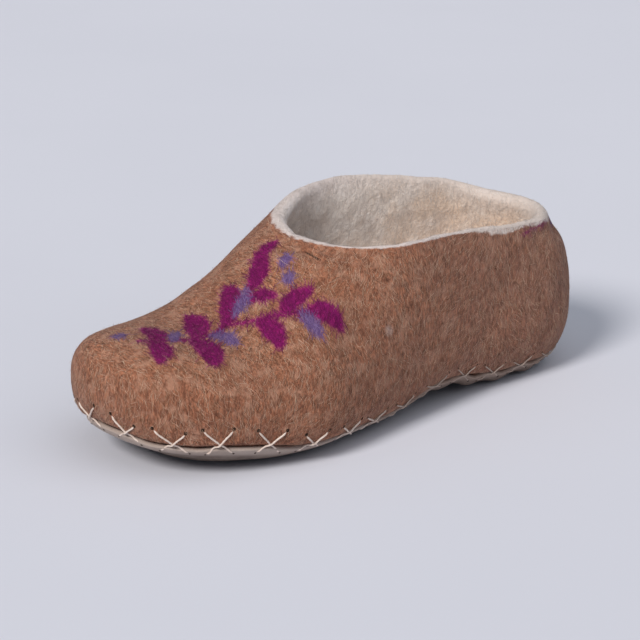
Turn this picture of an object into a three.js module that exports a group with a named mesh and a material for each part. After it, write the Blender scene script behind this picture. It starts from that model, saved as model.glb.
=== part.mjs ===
// Felted wool slipper for the left foot, in millimetres.
// +X runs from heel to toe, +Y to the outer side of the foot, +Z up, and the sole stands on z = 0.

import * as THREE from 'three';

// The last, measured over the felt and the leather
const footLength = 264; // heel back to toe tip
const heelCentre = 40; // middle of the rounded heel, from the heel back
const toeCentre = 197; // middle of the rounded toe
const throatAt = 160; // front end of the collar opening
const heelRound = 2.1; // roundness of the outline at the heel, 2 is an ellipse
const toeRound = 2.4; // roundness of the outline at the toe
const collarTilt = 0.11; // fall of the collar towards the outer side, per mm of width
const tiltFade = 30; // length over which that fall dies out behind the throat

// The wall of felt
const feltWall = 5.5;
const lipRise = 1.6; // rounding of the cut edge at the collar

// The leather under it
const leatherWall = 2.2;
const seatGap = 0.3; // between leather and felt
const settle = 7; // length over which the felt swells out again above the margin
const treadShare = 0.4; // share of the width that is flat underneath
const treadRound = 2.35; // roundness of the bottom outside the flat
const heelSeat = { from: 22, to: 58 }; // flat on the ground
const foreSeat = { from: 142, to: 198 }; // flat on the ground
const heelLift = 3;
const archLift = 6;
const toeSpring = 7;

// One row per section along the foot: half widths to the outer and the inner side, top of the felt
// (behind the throat, before the collar is cut), height of the widest level, fullness of the curve above it
const sections = [
  { at: 0, outer: 42.5, inner: 39, top: 81, widest: 31.5, fullness: 2.5 },
  { at: 40, outer: 42, inner: 39.5, top: 98.5, widest: 33, fullness: 2.5 },
  { at: 95, outer: 44, inner: 44, top: 130, widest: 29, fullness: 2.5 },
  { at: throatAt, outer: 53.5, inner: 49.5, top: 87, widest: 23, fullness: 2.2 },
  { at: 185, outer: 57, inner: 49.5, top: 69.5, widest: 23.5, fullness: 2.2 },
  { at: 215, outer: 52.5, inner: 51.5, top: 55, widest: 29, fullness: 2.45 },
  { at: footLength, outer: 45.5, inner: 51, top: 64, widest: 34.5, fullness: 2.75 },
];

// Height of the collar edge along the foot
const collar = [
  { at: 0, height: 76.5 },
  { at: 40, height: 80 },
  { at: 95, height: 88 },
  { at: throatAt, height: 87 },
];

// Height of the leather's turned-up margin above the bottom, along the foot
const margin = [
  { at: 0, height: 7 },
  { at: 190, height: 7.5 },
  { at: 222, height: 12 },
  { at: 252, height: 10.8 },
  { at: footLength, height: 14.5 },
];

// Fineness of the faceted surfaces
const backSteps = 17;
const backCrowd = 1.7; // above 1 crowds the steps to the throat
const vampSteps = 5;
const toeSteps = 26;
const heelSteps = 20;
const soleRows = 7;
const soleCrowd = 1.5; // above 1 crowds the rows to the margin
const wallRows = 14;
const curveSteps = 90;

const clamp = (value) => Math.min(1, Math.max(0, value));
const smooth = (value) => clamp(value) ** 2 * (3 - 2 * clamp(value));

// A smooth curve through one column of a table
function along(rows, column, x) {
  const last = rows.length - 1;
  const at = Math.min(rows[last].at, Math.max(rows[0].at, x));
  let i = 0;
  while (i < last - 1 && rows[i + 1].at <= at) i++;
  const slope = (k) => {
    const before = rows[Math.max(0, k - 1)];
    const after = rows[Math.min(last, k + 1)];
    return k === 0 ? 0 : (after[column] - before[column]) / (after.at - before.at);
  };
  const span = rows[i + 1].at - rows[i].at;
  const t = (at - rows[i].at) / span;
  const rise = 3 * t ** 2 - 2 * t ** 3;
  const bend = (t ** 3 - 2 * t ** 2 + t) * slope(i) + (t ** 3 - t ** 2) * slope(i + 1);
  return rows[i][column] * (1 - rise) + rows[i + 1][column] * rise + bend * span;
}

// 0 on the middle line of the foot, 1 on the widest outline
function edgeShare(x, y) {
  const side = Math.abs(y) / along(sections, y >= 0 ? 'outer' : 'inner', x);
  const toe = Math.max(0, (x - toeCentre) / (footLength - toeCentre));
  const heel = Math.max(0, (heelCentre - x) / heelCentre);
  const round = x > throatAt ? toeRound : heelRound;
  return (side ** round + toe ** round + heel ** round) ** (1 / round);
}

// Underside on the middle line: heel seat, arch, forefoot, toe spring
function ground(x) {
  const arch = Math.sin(Math.PI * clamp((x - heelSeat.to) / (foreSeat.from - heelSeat.to))) ** 2;
  const heel = clamp(1 - x / heelSeat.from) ** 2;
  const toe = clamp((x - foreSeat.to) / (footLength - foreSeat.to)) ** 2;
  return archLift * arch + heelLift * heel + toeSpring * toe;
}

// Height of the skin above and below its widest level
function upperHeight(x, share) {
  const full = along(sections, 'fullness', x);
  const widest = along(sections, 'widest', x);
  return widest + (along(sections, 'top', x) - widest) * (1 - share ** full) ** (1 / full);
}

function lowerHeight(x, share) {
  const out = Math.max(0, (share - treadShare) / (1 - treadShare));
  const widest = along(sections, 'widest', x);
  return widest - (widest - ground(x)) * (1 - out ** treadRound) ** (1 / treadRound);
}

function collarHeight(x, y) {
  if (x > throatAt) return Infinity;
  return along(collar, 'height', x) - collarTilt * y * clamp((throatAt - x) / tiltFade);
}

// Distance from the station's foot at which the edge share is reached
function reach(station, share) {
  let near = 0;
  let far = 120;
  for (let k = 0; k < 40; k++) {
    const middle = (near + far) / 2;
    const inside = edgeShare(station.x + middle * station.dx, middle * station.dy) < share;
    if (inside) near = middle;
    else far = middle;
  }
  return near;
}

// Upright half planes all round the foot: across the body, and fanned about the middles of toe and heel
function stationsRound() {
  const body = [];
  const behind = throatAt - heelCentre;
  for (let k = backSteps; k > 0; k--) body.push(throatAt - behind * (k / backSteps) ** backCrowd);
  for (let k = 0; k <= vampSteps; k++) body.push(throatAt + (toeCentre - throatAt) * (k / vampSteps));
  const fan = (x, steps, start) =>
    Array.from({ length: steps - 1 }, (_, k) => {
      const turn = start - (Math.PI * (k + 1)) / steps;
      return { x, dx: Math.cos(turn), dy: Math.sin(turn) };
    });
  return [
    ...body.map((x) => ({ x, dx: 0, dy: 1 })),
    ...fan(toeCentre, toeSteps, Math.PI / 2),
    ...body.reverse().map((x) => ({ x, dx: 0, dy: -1 })),
    ...fan(heelCentre, heelSteps, -Math.PI / 2),
  ];
}

// Points of a station's curve spread evenly, or crowded to the end, between two of its samples
function spread(curve, count, crowd) {
  const run = [0];
  for (let k = 1; k < curve.length; k++) run.push(run[k - 1] + curve[k].distanceTo(curve[k - 1]));
  return Array.from({ length: count + 1 }, (_, k) => {
    const goal = run[run.length - 1] * (1 - (1 - k / count) ** crowd);
    const j = Math.min(curve.length - 1, Math.max(1, run.findIndex((value) => value >= goal - 1e-9)));
    const t = clamp((goal - run[j - 1]) / (run[j] - run[j - 1]));
    return curve[j - 1].clone().lerp(curve[j], t);
  });
}

// One station from the middle of the underside, round the edge, up to the collar or the ridge of the vamp
function stationPoints(station) {
  const pointAt = (share, heightOf) => {
    const r = share > 0 ? reach(station, share) : 0;
    const x = station.x + r * station.dx;
    return new THREE.Vector3(x, r * station.dy, heightOf(x, share));
  };
  const quarter = (k) => (Math.PI / 2) * (k / curveSteps);
  const curve = [];
  for (let k = 0; k <= curveSteps; k++) curve.push(pointAt(Math.sin(quarter(k)), lowerHeight));
  const marginTop = (x) => ground(x) + along(margin, 'height', x);
  const turned = curve.findIndex((point) => point.z > marginTop(point.x));
  for (let k = 1; k <= curveSteps; k++) {
    const share = k < curveSteps ? Math.cos(quarter(k)) : 0;
    const point = pointAt(share, upperHeight);
    const over = point.z - collarHeight(point.x, point.y);
    if (over > 0) {
      const below = curve[curve.length - 1];
      const room = collarHeight(below.x, below.y) - below.z;
      curve.push(below.clone().lerp(point, room / (room + over)));
      break;
    }
    curve.push(point);
  }
  return [
    ...spread(curve.slice(0, turned + 1), soleRows, soleCrowd),
    ...spread(curve.slice(turned), wallRows, 1).slice(1),
  ];
}

const stations = stationsRound();
const skin = stations.map(stationPoints);
const rowCount = soleRows + wallRows + 1;

// Gathers points and faces into one indexed surface, welding points that coincide
class Surface {
  constructor() {
    this.places = new Map();
    this.positions = [];
    this.index = [];
  }

  point(p) {
    const key = [p.x, p.y, p.z].map((value) => Math.round(value * 1e4)).join();
    if (!this.places.has(key)) {
      this.places.set(key, this.positions.length / 3);
      this.positions.push(p.x, p.y, p.z);
    }
    return this.places.get(key);
  }

  face(...corners) {
    const [a, b, c] = corners.map((p) => this.point(p));
    if (a !== b && b !== c && c !== a) this.index.push(a, b, c);
  }

  // Strips between neighbouring columns of points, closed round the foot, split along the shorter diagonal
  columns(grid, inward) {
    grid.forEach((here, i) => {
      const next = grid[(i + 1) % grid.length];
      for (let j = 0; j + 1 < here.length; j++) {
        const ring = [here[j], here[j + 1], next[j + 1], next[j]];
        const [a, b, c, d] = inward ? ring.reverse() : ring;
        if (a.distanceTo(c) < b.distanceTo(d)) {
          this.face(a, b, c);
          this.face(a, c, d);
        } else {
          this.face(a, b, d);
          this.face(b, c, d);
        }
      }
    });
  }

  geometry() {
    const geometry = new THREE.BufferGeometry();
    geometry.setAttribute('position', new THREE.Float32BufferAttribute(this.positions, 3));
    geometry.setIndex(this.index);
    return geometry;
  }
}

// Outward direction of the skin at every point
const sheet = new Surface();
sheet.columns(skin, false);
const sheetShape = sheet.geometry();
sheetShape.computeVertexNormals();
const normals = sheetShape.getAttribute('normal');
const normalAt = (p) => new THREE.Vector3().fromBufferAttribute(normals, sheet.point(p));
const outward = skin.map((points) => points.map(normalAt));

// The skin moved inward by a depth that may change from row to row
function inset(depthAt, rows) {
  const moved = (p, i, j) => p.clone().addScaledVector(outward[i][j], -depthAt(i, j));
  return skin.map((points, i) => points.slice(0, rows).map((p, j) => moved(p, i, j)));
}

// How far the felt lies behind the skin: under the leather, then swelling out to it
function tuck(i, j) {
  if (j <= soleRows) return leatherWall + seatGap;
  const above = skin[i][j].distanceTo(skin[i][soleRows]);
  return (leatherWall + seatGap) * (1 - smooth(above / settle));
}

// Felt wall: outer face, rounded edge at the collar, inner face
function feltUpper() {
  const outer = inset(tuck, rowCount);
  const inner = inset((i, j) => tuck(i, j) + feltWall, rowCount);
  const open = stations.map(({ x, dy }) => x < throatAt || (x === throatAt && dy > 0));
  const top = rowCount - 1;
  const rim = outer.map((points, i) => [points[top], inner[i][top]]).filter((_, i) => open[i]);
  const lip = rim.map(([a, b], i) => {
    const before = rim[(i + rim.length - 1) % rim.length][0];
    const after = rim[(i + 1) % rim.length][0];
    const rise = after.clone().sub(before).cross(a.clone().sub(b)).normalize();
    return [a, a.clone().lerp(b, 0.5).addScaledVector(rise, lipRise), b];
  });
  const surface = new Surface();
  surface.columns(outer, false);
  surface.columns(inner, true);
  surface.columns(lip, false);
  return surface.geometry();
}

// Leather cup: outer face, cut edge, inner face
function leatherSole() {
  const outer = inset(() => 0, soleRows + 1);
  const inner = inset(() => leatherWall, soleRows + 1);
  const surface = new Surface();
  surface.columns(outer, false);
  surface.columns(inner, true);
  surface.columns(outer.map((points, i) => [points[soleRows], inner[i][soleRows]]), false);
  return surface.geometry();
}

const pieces = [
  { name: 'felt_upper', shape: feltUpper(), colour: 0xa9744f, roughness: 0.95 },
  { name: 'leather_sole', shape: leatherSole(), colour: 0xd9cdb8, roughness: 0.75 },
];

// The box of the whole slipper is centred over the origin
const box = new THREE.Box3();
for (const { shape } of pieces) {
  shape.computeBoundingBox();
  box.union(shape.boundingBox);
}
const middle = box.getCenter(new THREE.Vector3());

const slipper = new THREE.Group();
slipper.name = 'felt_slipper';
for (const { name, shape, colour, roughness } of pieces) {
  shape.translate(-middle.x, -middle.y, -box.min.z);
  const material = new THREE.MeshStandardMaterial({ color: colour, roughness, metalness: 0 });
  const mesh = new THREE.Mesh(shape, material);
  mesh.name = name;
  slipper.add(mesh);
}

export default slipper;
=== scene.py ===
import math
import bpy
import numpy as np
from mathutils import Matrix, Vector, noise
from mathutils.bvhtree import BVHTree


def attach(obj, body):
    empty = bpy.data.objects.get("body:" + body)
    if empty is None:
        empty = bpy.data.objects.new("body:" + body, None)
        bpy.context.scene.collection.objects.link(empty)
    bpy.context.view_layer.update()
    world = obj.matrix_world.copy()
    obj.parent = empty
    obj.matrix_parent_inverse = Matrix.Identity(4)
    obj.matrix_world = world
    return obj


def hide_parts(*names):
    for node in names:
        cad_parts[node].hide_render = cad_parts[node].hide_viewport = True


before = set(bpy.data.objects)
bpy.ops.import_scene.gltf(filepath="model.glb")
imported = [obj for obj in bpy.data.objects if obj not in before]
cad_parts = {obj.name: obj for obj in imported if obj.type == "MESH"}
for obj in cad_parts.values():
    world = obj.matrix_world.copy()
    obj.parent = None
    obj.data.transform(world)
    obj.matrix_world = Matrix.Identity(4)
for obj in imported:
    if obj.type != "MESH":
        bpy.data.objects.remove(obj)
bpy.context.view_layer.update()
mm = 0.001
dice = np.random.default_rng(27)  # one seed, drawn in order
print("frame loaded")

# the last, in mm from the heel back, with the same sections as the solids
last = {
    "length": 264.0, "heelCentre": 40.0, "toeCentre": 197.0, "throatAt": 160.0,
    "heelRound": 2.1, "toeRound": 2.4, "collarTilt": 0.11, "tiltFade": 30.0,
    "treadShare": 0.4, "treadRound": 2.35, "heelSeat": (22.0, 58.0), "foreSeat": (142.0, 198.0),
    "heelLift": 3.0, "archLift": 6.0, "toeSpring": 7.0, "reach": 120.0,
}
sections = {  # one column per section along the foot
    "at": (0, 40, 95, 160, 185, 215, 264),
    "outer": (42.5, 42, 44, 53.5, 57, 52.5, 45.5),
    "inner": (39, 39.5, 44, 49.5, 49.5, 51.5, 51),
    "top": (81, 98.5, 130, 87, 69.5, 55, 64),
    "widest": (31.5, 33, 29, 23, 23.5, 29, 34.5),
    "fullness": (2.5, 2.5, 2.5, 2.2, 2.2, 2.45, 2.75),
}
collar = {"at": (0, 40, 95, 160), "height": (76.5, 80, 88, 87)}
margin = {"at": (0, 190, 222, 252, 264), "height": (7, 7.5, 12, 10.8, 14.5)}  # leather over the ground


def smooth(t):
    t = np.clip(t, 0, 1)
    return t * t * (3 - 2 * t)


def rising(x, start, over):  # 0 up to start, then softly to 1
    return smooth((x - start) / over)


def falling(x, start, over):  # 0 down to start, then softly to 1
    return smooth((start - x) / over)


def blend(a, b, share):
    return a + (b - a) * share


def unit(v):
    return v / np.maximum(np.linalg.norm(v, axis=-1, keepdims=True), 1e-12)


def along(table, column, x):  # smooth curve through one column
    at, val = np.array(table["at"], float), np.array(table[column], float)
    slope = np.zeros(len(at))
    slope[1:-1] = (val[2:] - val[:-2]) / (at[2:] - at[:-2])
    slope[-1] = (val[-1] - val[-2]) / (at[-1] - at[-2])
    x = np.clip(x, at[0], at[-1])
    i = np.clip(np.searchsorted(at, x, side="right") - 1, 0, len(at) - 2)
    span = at[i + 1] - at[i]
    t = (x - at[i]) / span
    rise = 3 * t ** 2 - 2 * t ** 3
    bend = (t ** 3 - 2 * t ** 2 + t) * slope[i] + (t ** 3 - t ** 2) * slope[i + 1]
    return val[i] * (1 - rise) + val[i + 1] * rise + bend * span


def edgeShare(x, y):  # 0 on the middle line, 1 on the outline
    half = np.where(y >= 0, along(sections, "outer", x), along(sections, "inner", x))
    side = np.abs(y) / half
    toe = np.clip((x - last["toeCentre"]) / (last["length"] - last["toeCentre"]), 0, None)
    heel = np.clip((last["heelCentre"] - x) / last["heelCentre"], 0, None)
    power = np.where(x > last["throatAt"], last["toeRound"], last["heelRound"])
    return (side ** power + toe ** power + heel ** power) ** (1 / power)


def ground(x):
    heelSeat, foreSeat = last["heelSeat"], last["foreSeat"]
    arch = np.sin(np.pi * np.clip((x - heelSeat[1]) / (foreSeat[0] - heelSeat[1]), 0, 1)) ** 2
    heel = np.clip(1 - x / heelSeat[0], 0, 1) ** 2
    toe = np.clip((x - foreSeat[1]) / (last["length"] - foreSeat[1]), 0, 1) ** 2
    return last["archLift"] * arch + last["heelLift"] * heel + last["toeSpring"] * toe


def upperHeight(x, share):
    full, widest = along(sections, "fullness", x), along(sections, "widest", x)
    crown = (1 - np.clip(share, 0, 1) ** full) ** (1 / full)
    return widest + (along(sections, "top", x) - widest) * crown


def lowerHeight(x, share):
    out = np.clip((share - last["treadShare"]) / (1 - last["treadShare"]), 0, 1)
    widest = along(sections, "widest", x)
    bowl = (1 - out ** last["treadRound"]) ** (1 / last["treadRound"])
    return widest - (widest - ground(x)) * bowl


def collarHeight(x, y):
    tilt = last["collarTilt"] * y * np.clip((last["throatAt"] - x) / last["tiltFade"], 0, 1)
    return np.where(x > last["throatAt"] + 1e-9, 1e3, along(collar, "height", x) - tilt)


# upright half planes round the foot, finer than in the solids
stationPlan = {"back": 84, "crowd": 1.55, "vamp": 22, "toe": 116, "heel": 84, "curve": 150, "halvings": 36}


def stationRays():
    steps = np.arange(stationPlan["back"], 0, -1) / stationPlan["back"]
    back = last["throatAt"] - (last["throatAt"] - last["heelCentre"]) * steps ** stationPlan["crowd"]
    vamp = np.linspace(last["throatAt"], last["toeCentre"], stationPlan["vamp"] + 1)
    body = np.concatenate([back, vamp])
    toeTurn = np.pi / 2 - np.linspace(0, np.pi, stationPlan["toe"] + 1)[1:-1]
    heelTurn = -np.pi / 2 - np.linspace(0, np.pi, stationPlan["heel"] + 1)[1:-1]
    toeX = np.full(len(toeTurn), last["toeCentre"])
    heelX = np.full(len(heelTurn), last["heelCentre"])
    x = np.concatenate([body, toeX, body[::-1], heelX])
    dx = np.concatenate([0 * body, np.cos(toeTurn), 0 * body, np.cos(heelTurn)])
    dy = np.concatenate([0 * body + 1, np.sin(toeTurn), 0 * body - 1, np.sin(heelTurn)])
    return x, dx, dy


def stationCurves(rayX, rayDx, rayDy):
    # each curve runs from the middle of the underside, round the edge, up to the crest
    quarter = np.linspace(0, np.pi / 2, stationPlan["curve"] + 1)
    share = np.concatenate([np.sin(quarter), np.cos(quarter)[1:-1], [0.0]])
    share = share[None, :].repeat(len(rayX), 0)
    near, far = np.zeros_like(share), np.full_like(share, last["reach"])
    for _ in range(stationPlan["halvings"]):
        half = (near + far) / 2
        inside = edgeShare(rayX[:, None] + half * rayDx[:, None], half * rayDy[:, None]) < share
        near, far = np.where(inside, half, near), np.where(inside, far, half)
    near[:, 0] = near[:, -1] = 0
    x, y = rayX[:, None] + near * rayDx[:, None], near * rayDy[:, None]
    lower = np.arange(share.shape[1]) <= stationPlan["curve"]
    z = np.where(lower, lowerHeight(x, share), upperHeight(x, share))
    curve = np.stack([x, y, z], -1)
    steps = np.linalg.norm(np.diff(curve, axis=1), axis=2)
    arc = np.concatenate([np.zeros((len(rayX), 1)), steps.cumsum(1)], 1)
    edgeArc, endArc = np.empty(len(rayX)), np.empty(len(rayX))
    rise = z - ground(x) - along(margin, "height", x)
    over = np.where(lower, -1, z - collarHeight(x, y))
    for i in range(len(rayX)):
        k = int(np.argmax(rise[i] > 0))
        edgeArc[i] = np.interp(0, rise[i, k - 1:k + 1], arc[i, k - 1:k + 1])
        k = int(np.argmax(over[i] > 1e-6))
        endArc[i] = np.interp(0, over[i, k - 1:k + 1], arc[i, k - 1:k + 1]) if k else arc[i, -1]
    return curve, arc, edgeArc, endArc


def pointsAt(arcs):  # points of every station at its own row of arc lengths
    out = np.empty(arcs.shape + (3,))
    for i in range(len(arcs)):
        for c in range(3):
            out[i, :, c] = np.interp(arcs[i], stationArc[i], stationCurve[i, :, c])
    return out


rayX, rayDx, rayDy = stationRays()
stationCurve, stationArc, edgeArc, endArc = stationCurves(rayX, rayDx, rayDy)
stationCount = len(rayX)
hasCollar = endArc < stationArc[:, -1] - 1e-6
onLip = (rayX < last["throatAt"] - 1e-9) | ((rayX < last["throatAt"] + 1e-9) & (rayDy > 0))
shiftY = (stationCurve[..., 1].max() + stationCurve[..., 1].min()) / 2
origin = np.array([last["length"] / 2, shiftY, 0.0])
edgeLine = pointsAt(edgeArc[:, None])[:, 0]
edgeSteps = np.linalg.norm(np.roll(edgeLine, -1, 0) - edgeLine, axis=1)
edgeRun = np.concatenate([[0], edgeSteps.cumsum()])
edgeLength = edgeRun[-1]
print("last worked out,", stationCount, "stations, edge", round(edgeLength), "mm")


def weld(points):
    _, first, back = np.unique(np.round(points, 4), axis=0, return_index=True, return_inverse=True)
    return first, back.reshape(-1)


def gridFaces(columns, rows, base=0, inward=False):  # quads of a closed ring of columns
    i, j = np.arange(columns), np.arange(rows - 1)
    a = (i[:, None] * rows + j[None, :]).reshape(-1)
    b = (((i + 1) % columns)[:, None] * rows + j[None, :]).reshape(-1)
    quads = np.stack([a, a + 1, b + 1, b], -1) + base
    return quads[:, ::-1] if inward else quads


def manyFaces(count, columns, rows, inward=False):  # for a row of grids that are all alike
    return np.concatenate([gridFaces(columns, rows, k * columns * rows, inward) for k in range(count)])


def joined(grids):
    return np.concatenate([grid.reshape(-1, 3) for grid in grids])


def gridNormals(grid):
    flat = grid.reshape(-1, 3)
    first, back = weld(flat)
    q = gridFaces(grid.shape[0], grid.shape[1])
    n = np.cross(flat[q[:, 2]] - flat[q[:, 0]], flat[q[:, 3]] - flat[q[:, 1]])
    total = np.zeros((len(first), 3))
    for c in range(4):
        np.add.at(total, back[q[:, c]], n)
    return unit(total)[back].reshape(grid.shape)


def addPiece(name, points, faces, finish, fields=()):
    # points in mm from the heel back, faces as quads that may have doubled corners
    first, back = weld(points)
    polygons = []
    for face in back[faces].tolist():
        ring = [p for k, p in enumerate(face) if p != face[k - 1]]
        if len(ring) > 2 and len(set(ring)) == len(ring):
            polygons.append(ring)
    mesh = bpy.data.meshes.new(name)
    mesh.from_pydata(((points[first] - origin) * mm).tolist(), [], polygons)
    for key, values in fields:
        layer = mesh.attributes.new(key, "FLOAT", "POINT")
        layer.data.foreach_set("value", np.ascontiguousarray(values[first], dtype=np.float32))
    mesh.shade_smooth()
    mesh.validate()
    mesh.materials.append(finish)
    piece = bpy.data.objects.new(name, mesh)
    bpy.context.collection.objects.link(piece)
    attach(piece, "root")
    print(name, len(polygons), "faces")
    return piece


def softNoise(points, size, seed):  # smooth noise about 0 at every point, size in mm
    shift = Vector((seed * 17.3, seed * 5.1, seed * 9.7))
    flat = points.reshape(-1, 3)
    return np.array([noise.noise(Vector(p) / size + shift) for p in flat]).reshape(points.shape[:-1])


class Finish:
    # one material, its nodes added a line at a time
    def __init__(self, name):
        self.mat = bpy.data.materials.new(name)
        self.mat.use_nodes = True
        self.tree = self.mat.node_tree
        self.shader = self.tree.nodes["Principled BSDF"]
        self.where = self.tree.nodes.new("ShaderNodeTexCoord").outputs["Object"]

    def node(self, kind, values=(), **settings):
        made = self.tree.nodes.new(kind)
        for key, value in settings.items():
            setattr(made, key, value)
        for key, value in values:
            self.feed(made.inputs[key], value)
        return made

    def feed(self, socket, value):
        if isinstance(value, bpy.types.NodeSocket):
            self.tree.links.new(value, socket)
        elif isinstance(value, tuple) and socket.type == "RGBA":
            socket.default_value = (*value, 1.0)
        else:
            socket.default_value = value

    def stretch(self, scale, turn):
        turn = tuple(math.radians(a) for a in turn)
        values = [("Vector", self.where), ("Scale", scale), ("Rotation", turn)]
        return self.node("ShaderNodeMapping", values).outputs["Vector"]

    def noise(self, scale, detail, rough, warp=0.0, vector=None):
        values = [("Vector", vector or self.where), ("Scale", scale), ("Detail", detail)]
        values += [("Roughness", rough), ("Distortion", warp)]
        return self.node("ShaderNodeTexNoise", values).outputs["Fac"]

    def pores(self, scale):
        values = [("Vector", self.where), ("Scale", scale)]
        return self.node("ShaderNodeTexVoronoi", values).outputs["Distance"]

    def lengthwise(self):  # m from the middle, less than 0 to the heel
        return self.node("ShaderNodeSeparateXYZ", [(0, self.where)]).outputs["X"]

    def field(self, name):
        return self.node("ShaderNodeAttribute", attribute_name=name).outputs["Fac"]

    def ramp(self, value, low, high, start=0.0, end=1.0):
        values = [("Value", value), ("From Min", low), ("From Max", high), ("To Min", start), ("To Max", end)]
        return self.node("ShaderNodeMapRange", values, interpolation_type="SMOOTHSTEP").outputs["Result"]

    def sum(self, kind, a, b):
        return self.node("ShaderNodeMath", [(0, a), (1, b)], operation=kind).outputs[0]

    def mix(self, share, a, b):
        made = self.node("ShaderNodeMix", data_type="RGBA")
        for socket, value in zip([s for s in made.inputs if s.enabled], (share, a, b)):
            self.feed(socket, value)
        return [s for s in made.outputs if s.enabled][0]

    def layer(self, colour, plan):  # another tone mixed in where its noise is high
        share = self.ramp(self.noise(*plan["noise"]), *plan["span"], 0, plan["most"])
        return self.mix(share, colour, plan["tone"])

    def bump(self, height, strength, distance, before=None):
        values = [("Height", height), ("Strength", strength), ("Distance", distance)]
        values += [("Normal", before)] if before else []
        return self.node("ShaderNodeBump", values).outputs["Normal"]

    def done(self, colour, rough, normal=None, specular=0.3, sheen=0.0):
        self.feed(self.shader.inputs["Base Color"], colour)
        self.shader.inputs["Roughness"].default_value = rough
        self.shader.inputs["Specular IOR Level"].default_value = specular
        self.shader.inputs["Sheen Weight"].default_value = sheen
        if normal:
            self.tree.links.new(normal, self.shader.inputs["Normal"])
        return self.mat


# cross stitches round the edge, planned first because they pull the felt in
crosses = {
    "count": 29, "start": 7.5, "uneven": 0.07, "front": (120.0, 80.0),
    "half": 6.4, "halfBack": 7.3, "halfSpread": (0.9, 1.1),
    "rise": 10.6, "riseBack": 6.4, "riseSpread": (0.92, 1.1), "topSpread": (0.94, 1.06),
    "drop": 1.0, "slip": 1.4, "lift": 0.40, "crossLift": 0.7, "sink": 1.0,
    "endShare": 0.1, "middleShare": 0.14, "restShare": 0.3, "eased": 0.4,
    "thick": 0.82, "thinner": 0.25, "back": (165.0, 50.0), "ply": 0.16, "twist": 3.4,
    "steps": 19, "sides": 8,
}
crossPitch = edgeLength / crosses["count"]
crossAt = crosses["start"] + crossPitch * np.arange(crosses["count"])
crossAt = crossAt + crossPitch * dice.uniform(-crosses["uneven"], crosses["uneven"], crosses["count"])
crossX = np.interp(crossAt % edgeLength, edgeRun, np.append(edgeLine[:, 0], edgeLine[0, 0]))
crossFront = rising(crossX, *crosses["front"])
crossHalf = blend(crosses["halfBack"], crosses["half"], crossFront)
crossHalf = crossHalf * dice.uniform(*crosses["halfSpread"], crosses["count"])
crossRise = blend(crosses["riseBack"], crosses["rise"], crossFront)
crossRise = crossRise * dice.uniform(*crosses["riseSpread"], crosses["count"])


def nearestCross(run):  # signed distance along the edge to the nearest cross
    gap = (run[:, None] - crossAt[None, :] + edgeLength / 2) % edgeLength - edgeLength / 2
    return gap[np.arange(len(run)), np.abs(gap).argmin(1)]


crossGap = nearestCross(edgeRun[:-1])

# the felt wall: camel outside, white inside, felted as one
felt = {
    "wall": 6.0, "soleRows": 8, "soleCrowd": 1.4, "wallRows": 96, "innerRows": 60,
    "tuck": 2.5, "tuckUnder": 12.0, "settle": 4.5, "settleBack": 2.6, "front": (110.0, 70.0),
    "pull": 0.5, "pullWide": 5.5, "pullAt": 6.0, "pullTall": 4.5, "reliefOver": 6.0,
    "lump": 0.55, "lumpSize": 34.0, "ripple": 0.18, "rippleSize": 8.0,
    "tuft": 0.9, "tuftSize": 16.0, "curl": 0.4, "curlSize": 6.0, "calm": 0.3,
}
# the soft lip round the collar, thick at throat and heel and thin along the sides
lipPlan = {
    "edge": 3.6, "edgeEnds": 8.2, "below": 7.8, "belowEnds": 11.0,
    "over": 16.0, "power": 2.5, "thinOver": 40.0,
    "throat": (100.0, 48.0), "throatSide": (28.0, 24.0), "heel": (48.0, 36.0),
    "sinkOver": 15.0, "level": 0.3, "levelOver": 16.0, "steadyOver": 5,
    "evenAt": 152.0, "evenOver": 20.0, "evenRounds": 12, "evenShare": 0.5,
    "rows": 12, "swell": 0.70, "turn": 120, "wave": 0.7, "waveSize": 13.0, "crimp": 0.25, "crimpSize": 4.5,
}
sinking = {  # how far the edge of the collar has sunk, from the inner side over to the outer one
    "side": (-20.0, 36.0),
    "at": (0, 12, 22, 32, 42, 62, 90, 112, 130, 160),
    "outer": (2.0, 1.2, 0.4, 0.3, 0.6, 2.0, 2.8, 2.6, 2.5, 4.4),
    "inner": (2.4, 3.2, 3.0, 1.8, 0.4, 0.6, 1.2, 1.2, 1.2, 1.6),
}
creases = [  # soft troughs from one point to another, mm from the heel back
    {"from": (163, 14, 83.6), "to": (163, 24, 80.6), "deep": 1.3, "wide": 2.4},
    {"from": (159.5, 13, 85.5), "to": (159.5, 26, 81.5), "deep": -0.5, "wide": 2.6},
    {"from": (150, 45, 70), "to": (168, 50, 48), "deep": 0.7, "wide": 7.0},
    {"from": (196, -30, 50), "to": (204, 30, 52), "deep": 0.8, "wide": 9.0},
    {"from": (120, 44, 30), "to": (150, 50, 14), "deep": 0.6, "wide": 6.0},
    {"from": (60, 41, 55), "to": (84, 43, 22), "deep": 0.6, "wide": 8.0},
    {"from": (70, -40, 50), "to": (110, -45, 24), "deep": 0.6, "wide": 8.0},
    {"from": (20, 33, 52), "to": (34, 40, 26), "deep": 0.5, "wide": 6.0},
    {"from": (22, 30, 69), "to": (38, 38, 70.5), "deep": 1.6, "wide": 6.5},
    {"from": (8, 10, 68), "to": (20, 28, 69), "deep": 1.2, "wide": 6.5},
]
# a pale fleck of wool and two dark specks on the outer side, more than 0 is pale
marks = [
    {"at": (143.6, 49.4, 49.5), "wide": 3.4, "tone": 1.0},
    {"at": (129.6, 42.0, 77.3), "wide": 1.3, "tone": -1.0},
    {"at": (162.4, 54.1, 27.9), "wide": 1.1, "tone": -1.0},
]
# the line of painted shade along one pinched fold close to the rim
nickShadeLine = {"from": (162, 14, 84.5), "to": (162, 24.5, 81), "facing": (0.54, 0.30, 0.78), "reach": 50.0}


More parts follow.
